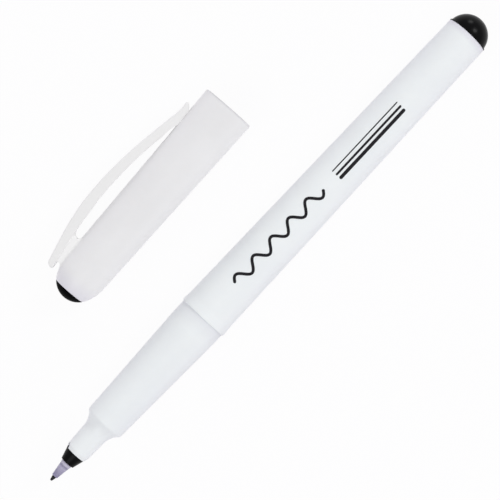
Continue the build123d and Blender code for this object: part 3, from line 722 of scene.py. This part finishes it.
def smooth_through(x, stations, values):
    """A curve through stations: each stretch is a cubic with the neighbours' slopes at its ends."""
    slope = np.gradient(values, stations)
    k = np.clip(np.searchsorted(stations, x, "right") - 1, 0, len(stations) - 2)
    gap = stations[k + 1] - stations[k]
    s = (x - stations[k]) / gap
    ends = values[k] * (1 + 2 * s) * (1 - s) ** 2 + values[k + 1] * s**2 * (3 - 2 * s)
    return ends + gap * (slope[k] * s * (1 - s) ** 2 - slope[k + 1] * s**2 * (1 - s))


def round_end(distance, radius):
    """Share of the full height at a distance from a round end: a quarter circle, then 1."""
    return np.sqrt(1 - np.clip(1 - distance / radius, 0, 1) ** 2)


def fade(x, start, end):
    """0 before start, 1 after end, and 3 s^2 - 2 s^3 between them."""
    s = np.clip((x - start) / (end - start), 0, 1)
    return s**2 * (3 - 2 * s)


def eased(count):
    """Shares from 0 to 1, closer together near both ends: s - CROWDING sin(2 pi s) / (2 pi)."""
    share = np.linspace(0, 1, count)
    return share - CROWDING * np.sin(2 * np.pi * share) / (2 * np.pi)


print("five eased shares:", eased(5).round(3))

# %% Clip outline
CLIP_ROWS = 240
CLIP_TAIL_X, CLIP_END_X = 2.95, 48.4
# Each end: rounding outside, rounding inside, and where it closes between inside and outside
TAIL_OUTER_R, TAIL_INNER_R, TAIL_CLOSE = 1.0, 0.35, 0.3
LIP_OUTER_R, LIP_INNER_R, LIP_CLOSE = 0.65, 0.65, 0.5
# Heights over the cap, from the tail over the root and the crest to the pad, the bend and the lip
CLIP_STATION = np.array(
    [CLIP_TAIL_X, 7.0, 12.6, 17.5, 22.4, 28.0, 33.4, 39.0, 42.0, 43.3, 45.4, 46.9, CLIP_END_X])
CLIP_INNER = np.array([0.58, 1.1, 1.8, 2.17, 2.4, 2.18, 1.69, 0.77, 0.34, 0.0, 0.0, 0.06, 0.68])
CLIP_OUTER = np.array([2.0, 2.93, 4.08, 4.68, 4.75, 4.44, 3.8, 2.83, 2.26, 2.02, 1.6, 1.44, 1.69])
PAD_TOUCH = 0.01
clip_x = CLIP_TAIL_X + (CLIP_END_X - CLIP_TAIL_X) * eased(CLIP_ROWS)
inner = cap_radius(clip_x) + np.maximum(smooth_through(clip_x, CLIP_STATION, CLIP_INNER), PAD_TOUCH)
outer = cap_radius(clip_x) + smooth_through(clip_x, CLIP_STATION, CLIP_OUTER)
from_tail, from_lip = clip_x - CLIP_TAIL_X, CLIP_END_X - clip_x
close = inner + (outer - inner) * np.where(from_tail < from_lip, TAIL_CLOSE, LIP_CLOSE)
high = close + (outer - close) * round_end(from_tail, TAIL_OUTER_R) * round_end(from_lip, LIP_OUTER_R)
low = close + (inner - close) * round_end(from_tail, TAIL_INNER_R) * round_end(from_lip, LIP_INNER_R)
print("clip crest", round(float((outer - cap_radius(clip_x)).max()), 2), "mm over the cap")

# %% [markdown]
# ## The clip's section
#
# The band's section is a rectangle with round edges, carried along the outline. A plain rectangle would
# be simpler, but its inner face is not square to the floor: on the arm it has the lean that lets a
# moulding leave its mould, so from above hardly any of it shows, and at the pad it is hollow like the
# round cap that it touches. The real clip bends in its root; the script works out where that bend
# starts and ends.

# %% Section of the clip
CLIP_HALF_WIDTH, CLIP_EDGE_R = 1.6, 0.35
ARM_START_X, PAD_START_X, PAD_END_X = (11.0, 14.0), (42.2, 43.3), (46.8, 47.6)
INNER_EDGE_SHARE, PAD_EDGE_SHARE = 0.55, 0.06
half_height = (high - low) / 2
end_draw = round_end(from_tail, CLIP_EDGE_R) * round_end(from_lip, CLIP_EDGE_R)
half_width = CLIP_HALF_WIDTH - CLIP_EDGE_R * (1 - end_draw)
pad = (fade(clip_x, *PAD_START_X) * (1 - fade(clip_x, *PAD_END_X)))[:, None]
arm = fade(clip_x, *ARM_START_X)[:, None] - pad
# Round the section: outer and inner corner above, inner face, inner and outer corner below, outer face.
# upward runs from 1 to -1 down the inner face and back up the outer one
corner_angle = np.linspace(0, np.pi / 2, CORNER_POINTS)
turn = np.concatenate([corner_angle, corner_angle + np.pi / 2, np.full(CORNER_POINTS, np.pi),
                       corner_angle + np.pi, corner_angle + 3 * np.pi / 2, np.zeros(CORNER_POINTS)])
outward = np.repeat([1, -1, -1, -1, 1, 1], CORNER_POINTS)
face_ends = CORNER_POINTS * np.array([2, 3, 5, 6]) - np.array([1, 0, 1, 0])
upward = np.interp(np.arange(turn.size), face_ends, [1, -1, -1, 1])
edge_share = np.where(outward > 0, 1, INNER_EDGE_SHARE + (PAD_EDGE_SHARE - INNER_EDGE_SHARE) * pad)
edge = np.minimum(CLIP_EDGE_R, half_height)[:, None] * edge_share
band_t = (low + high)[:, None] / 2 + outward * (half_height[:, None] - edge) + edge * np.cos(turn)
band_up = upward * (half_width[:, None] - edge) + edge * np.sin(turn)
print("points round the section:", turn.size)

# %% Clip band
ARM_LEAN = 0.32
BEND_STATIONS, BEND_T = (11.0, 17.0), 8.2
# The round cap falls away from a flat face by r - sqrt(r^2 - up^2)
hollow = inner[:, None] - np.sqrt(inner[:, None] ** 2 - band_up**2)
end_share = ((high - low) / (outer - inner))[:, None]
band_t += (outward < 0) * (arm * end_share * ARM_LEAN * (1 - upward) / 2 - pad * hollow)
clip = make_piece("pocket_clip_band", clip_white, on_line(cap_line, clip_x[:, None], band_t, band_up))
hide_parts("pocket_clip")
bend_start, bend_end = (Vector(on_line(cap_line, s, BEND_T, 0.0)) for s in BEND_STATIONS)
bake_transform(clip)
print("clip bends from", bend_start, "to", bend_end)

# %% [markdown]
# ## The web under the clip
#
# A wall nearly as wide as the clip joins its tail to the cap. It could be cut from a block with Boolean
# modifiers, but a sheet between the cap's skin and the band needs no cutting. Its height is 0 at the cap
# and 1 at the band. Behind it is a round notch and before it the round root of the slot: both ends
# follow the ellipse sqrt(1 - (2 height - 1)^2). Beyond 0 and 1 the sheet is sunk into its neighbours. At
# the cap it flares into a fillet, an arc that touches the wall and the round cap.

# %% Sheet of the web
WEB_ROWS, WEB_COLUMNS = 49, 48
WEB_HEIGHTS = (-0.4, 1.2)
WEB_START_X, NOTCH_DEPTH, SLOT_END_X, SLOT_R = 4.5, 0.42, 11.3, 0.85


def cap_skin(x):
    """Outer radius of the whole cap at a station, with its drawn-in end."""
    return np.where(x < CAP_SHOULDER_X, np.interp(x, *cap_end[::-1].T), cap_radius(x))


height = np.linspace(*WEB_HEIGHTS, WEB_ROWS)[:, None]
bow = np.sqrt(1 - np.clip(2 * height - 1, -1, 1) ** 2)
web_start, web_end = WEB_START_X + NOTCH_DEPTH * bow, SLOT_END_X + SLOT_R * (1 - bow)
web_share = np.concatenate([eased(WEB_COLUMNS), eased(WEB_COLUMNS)[::-1]])
web_side = np.repeat([-1, 1], WEB_COLUMNS)
web_x = web_start + web_share * (web_end - web_start)
skin = cap_skin(web_x)
web_t = skin + height * (np.interp(web_x, clip_x, inner) - skin)
print("web from", round(float(web_x.min()), 2), "to", round(float(web_x.max()), 2), "mm along the cap")

# %% Web with its fillet
WEB_HALF_WIDTH, WEB_EDGE_R, FILLET_R = 1.42, 0.2, 0.6
arc_t = np.sqrt((skin + FILLET_R) ** 2 - (WEB_HALF_WIDTH + FILLET_R) ** 2)
into_arc = np.clip(arc_t - web_t, 0, arc_t * FILLET_R / (skin + FILLET_R))
fillet = FILLET_R - np.sqrt(FILLET_R**2 - into_arc**2)
end_draw = round_end(web_x - web_start, WEB_EDGE_R) * round_end(web_end - web_x, WEB_EDGE_R)
web_width = WEB_HALF_WIDTH + fillet - WEB_EDGE_R * (1 - end_draw)
# The sunk first and last row close to a line
web_width[[0, -1]] = 0
web = make_piece("clip_web", web_white, on_line(cap_line, web_x, web_t, web_side * web_width))
belongs(web, "cap", "white_moulding")

# %% [markdown]
# ## The print
#
# Ink is printed on top of the barrel. Here it is a plain sample of what such a pen draws: one wavy line
# and three straight ones, from fine to bold. A pattern in the barrel's finish could show it, but thin
# ribbons keep sharp edges in a close view. A ribbon's middle line and half width are given flat, in
# millimetres along and across, and the flat sheet is then wrapped round the tube.

# %% Printed line
# Pad-printing ink: dense black, nearly matt, with a faint mottle
print_ink = inked("ink_pad_printed", dark="#121014", pale="#1E1C21",
                  grain_mm=0.25, stretch=1, depth_mm=0.003, roughness=0.5)
PRINT_LIFT, PRINT_SINK = 0.015, -0.05
# Round a ribbon's section: five points over it from side to side, and five back under it
RIBBON_SIDE = np.array([-1, -0.5, 0, 0.5, 1, 1, 0.5, 0, -0.5, -1])
RIBBON_LIFT = np.repeat([PRINT_LIFT, PRINT_SINK], 5)


def printed_line(along, across, half_width):
    """A closed ribbon round a flat line: its sides at right angles, and across / radius as the angle."""
    step = np.gradient(np.stack([along, across]), axis=1)
    step /= np.linalg.norm(step, axis=0)
    run = np.append(0, np.cumsum(np.hypot(np.diff(along), np.diff(across))))
    end_draw = round_end(run, half_width) * round_end(run[-1] - run, half_width)
    side = half_width * end_draw[:, None] * RIBBON_SIDE
    x = along[:, None] - step[1][:, None] * side
    turn = (across[:, None] + step[0][:, None] * side) / tube_radius(x)
    r = tube_radius(x) + RIBBON_LIFT
    return on_line(pen_line, x, r * np.sin(turn), r * np.cos(turn))


# %% Print
WAVE_START, WAVE_LENGTH, WAVE_COUNT, WAVE_HEIGHT, WAVE_HALF_WIDTH = 57.0, 27.0, 5, 1.15, 0.32
BAR_START, BAR_LENGTH, BAR_SPACING = 88.0, 20.0, 1.1
BAR_HALF_WIDTHS = (0.13, 0.24, 0.38)
WAVE_POINTS, BAR_POINTS = 480, 120
wave_share = eased(WAVE_POINTS)
wave = printed_line(WAVE_START + WAVE_LENGTH * wave_share,
                    WAVE_HEIGHT * np.sin(2 * np.pi * WAVE_COUNT * wave_share), WAVE_HALF_WIDTH)
bar_along = BAR_START + BAR_LENGTH * eased(BAR_POINTS)
bars = [printed_line(bar_along, np.full(BAR_POINTS, (1 - k) * BAR_SPACING), half_width)
        for k, half_width in enumerate(BAR_HALF_WIDTHS)]
strokes = make_piece("print_strokes", print_ink, wave, *bars)
belongs(strokes, "pen", "black_moulding")

# %% [markdown]
# ## The hidden core
#
# Inside the barrel lies a rod of polyester fibre that holds the ink, wrapped in a clear film. They could
# be drawn again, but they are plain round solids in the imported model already, so they keep those shapes
# and only get a finish.

# %% Core finishes
# Polyester fibre soaked with ink: matt black, streaked along the rod
core_fibre = inked("polyester_fibre_soaked", dark="#0B0B0D", pale="#222226",
                   grain_mm=0.2, stretch=20, depth_mm=0.05, roughness=0.8)

# Polypropylene film, drawn thin: glossy, nearly colourless, with faint creases
film = moulded_plastic(
    "polypropylene_film_drawn", light="#D3D5D9", deep="#C6C8CD", gloss=(0.12, 0.2),
    grain_mm=1.5, grain_depth_mm=0.01, glow=0.0)
for node_name, material in (("ink_core", core_fibre), ("core_wrap", film)):
    frame["nodes"][node_name].data.materials.clear()
    frame["nodes"][node_name].data.materials.append(material)
print("core finishes set")

# %% [markdown]
# ## Floor and light
#
# The set is photographed from straight above on white. The floor is a large sheet. Where the camera, a
# reflection or a clear piece looks at it, nearly all of it glows white, so that the page is white while
# a faint shadow stays. An even sky alone could light the set, but it leaves round pieces flat. So a soft
# key lamp stands to the right of the picture, a low one at its top and a weak low one at its lower
# right, a broad panel hangs over its lower left, and the sky does the rest. Their shares add up to 1, so
# a colour renders about as it is written.

# %% Picture directions
PEN_SLANT = np.radians(46.94)
picture_right = np.array([np.cos(PEN_SLANT), -np.sin(PEN_SLANT), 0])
picture_up = np.array([np.sin(PEN_SLANT), np.cos(PEN_SLANT), 0])
print("the picture's right is", picture_right.round(3), "and its top", picture_up.round(3))

# %% Floor sheet
FLOOR_HALF = 6.0
floor_corners = FLOOR_HALF * np.array([(-1, -1, 0), (1, -1, 0), (1, 1, 0), (-1, 1, 0)])
floor_mesh = bpy.data.meshes.new("floor")
floor_mesh.from_pydata(floor_corners.tolist(), [], [(0, 1, 2, 3)])
floor = bpy.data.objects.new("floor", floor_mesh)
bpy.context.scene.collection.objects.link(floor)
print("floor:", 2 * FLOOR_HALF, "m wide")

# %% Card of the floor
PAGE_GLOW, TOOTH_MM = 0.95, 2
# Matt card, white with a breath of lavender: even, with a faint tooth
card, tree = new_tree("card_matt_white")
place = add_node(tree, "ShaderNodeTexCoord", {}).outputs["Object"]
tooth = add_node(tree, "ShaderNodeTexNoise", {"Vector": place, "Scale": per_mm(TOOTH_MM)})
shade = add_node(tree, "ShaderNodeValToRGB", {"Fac": tooth.outputs["Fac"]})
for stop, colour in zip(shade.color_ramp.elements, ("#E6E0EB", "#E9E3EE")):
    stop.color = linear(colour)
matt = add_node(tree, "ShaderNodeBsdfDiffuse", {"Color": shade.outputs["Color"]})
glow = add_node(tree, "ShaderNodeEmission", {"Strength": 1.0})
path = add_node(tree, "ShaderNodeLightPath", {})
seen = add_node(tree, "ShaderNodeMath", {
    0: path.outputs["Is Camera Ray"], 1: path.outputs["Is Glossy Ray"]}, operation="MAXIMUM")
seen = add_node(tree, "ShaderNodeMath", {
    0: seen.outputs["Value"], 1: path.outputs["Is Transmission Ray"]}, operation="MAXIMUM")
amount = add_node(tree, "ShaderNodeMath", {0: seen.outputs["Value"], 1: PAGE_GLOW}, operation="MULTIPLY")
page = add_node(tree, "ShaderNodeMixShader", {
    0: amount.outputs["Value"], 1: matt.outputs["BSDF"], 2: glow.outputs["Emission"]})
add_node(tree, "ShaderNodeOutputMaterial", {"Surface": page.outputs["Shader"]})
floor_mesh.materials.append(card)
print("finish of the floor:", card.name)

# %% Sky
SKY_SHARE, KEY_SHARE, FILL_SHARE, FRONT_SHARE, SIDE_SHARE = 0.633, 0.16, 0.03, 0.165, 0.012
sky = bpy.data.worlds.new("studio_sky")
sky.use_nodes = True
sky.node_tree.nodes.clear()
even = add_node(sky.node_tree, "ShaderNodeBackground", {
    "Color": linear("#FCFBFE"), "Strength": SKY_SHARE})
add_node(sky.node_tree, "ShaderNodeOutputWorld", {"Surface": even.outputs["Background"]})
bpy.context.scene.world = sky
print("all shares:", round(SKY_SHARE + KEY_SHARE + FILL_SHARE + FRONT_SHARE + SIDE_SHARE, 3))

# %% Lamps
LAMP_DISTANCE, LAMP_SIZE, PANEL_SIZE = 2.2, 0.6, 1.4
# Each lamp's turn from the picture's right to its top and its lean from the upright, in degrees
KEY_PLACE, FILL_PLACE, FRONT_PLACE, SIDE_PLACE = (29, 49), (72, 78), (229, 40), (-43, 76)


def soft_lamp(name, turn_degrees, lean_degrees, share, size):
    """A square lamp, turned from the picture's right to its top and leaning from the upright.

    Its power P lights the floor at distance d by P cos(lean) / (pi d^2), and full white is pi, so for a
    share of full white P = share * pi^2 * d^2 / cos(lean).
    """
    turn, lean = np.radians(turn_degrees), np.radians(lean_degrees)
    direction = np.cos(turn) * picture_right + np.sin(turn) * picture_up
    lamp = bpy.data.lights.new(name, "AREA")
    lamp.size = size
    lamp.energy = share * np.pi**2 * LAMP_DISTANCE**2 / np.cos(lean)
    holder = bpy.data.objects.new(name, lamp)
    to_lamp = Vector(direction * np.sin(lean) + np.array([0, 0, np.cos(lean)]))
    holder.location = to_lamp * LAMP_DISTANCE
    holder.rotation_euler = to_lamp.to_track_quat("Z", "Y").to_euler()
    bpy.context.scene.collection.objects.link(holder)
    print(f"{name}: {lamp.energy:.2f} W")


soft_lamp("key_lamp", *KEY_PLACE, KEY_SHARE, LAMP_SIZE)
soft_lamp("fill_lamp", *FILL_PLACE, FILL_SHARE, LAMP_SIZE)
soft_lamp("front_panel", *FRONT_PLACE, FRONT_SHARE, PANEL_SIZE)
soft_lamp("side_lamp", *SIDE_PLACE, SIDE_SHARE, LAMP_SIZE)

# %% [markdown]
# ## Camera
#
# The camera looks straight down through a long lens, turned so that the pen runs from the lower left to
# the upper right. A view without perspective would be simpler, but through a real lens a piece off the
# middle shows a little of the side that faces the middle. The camera's distance follows from the width
# that the picture shows at the pen's height.

# %% Camera
LENS, SENSOR = 165.0, 36.0
PICTURE_WIDTH = 0.1056
VIEW_CENTRE = (-0.00238, -0.012435)
camera_data = bpy.data.cameras.new("camera")
camera_data.lens, camera_data.sensor_width = LENS, SENSOR
camera = bpy.data.objects.new("camera", camera_data)
camera.location = (*VIEW_CENTRE, pen_line["origin"][2] + PICTURE_WIDTH * LENS / SENSOR)
camera.rotation_euler = (0, 0, -PEN_SLANT)
bpy.context.scene.collection.objects.link(camera)
bpy.context.scene.camera = camera
bpy.context.scene.view_settings.view_transform = "Standard"
print("camera height", round(camera.location.z, 4))
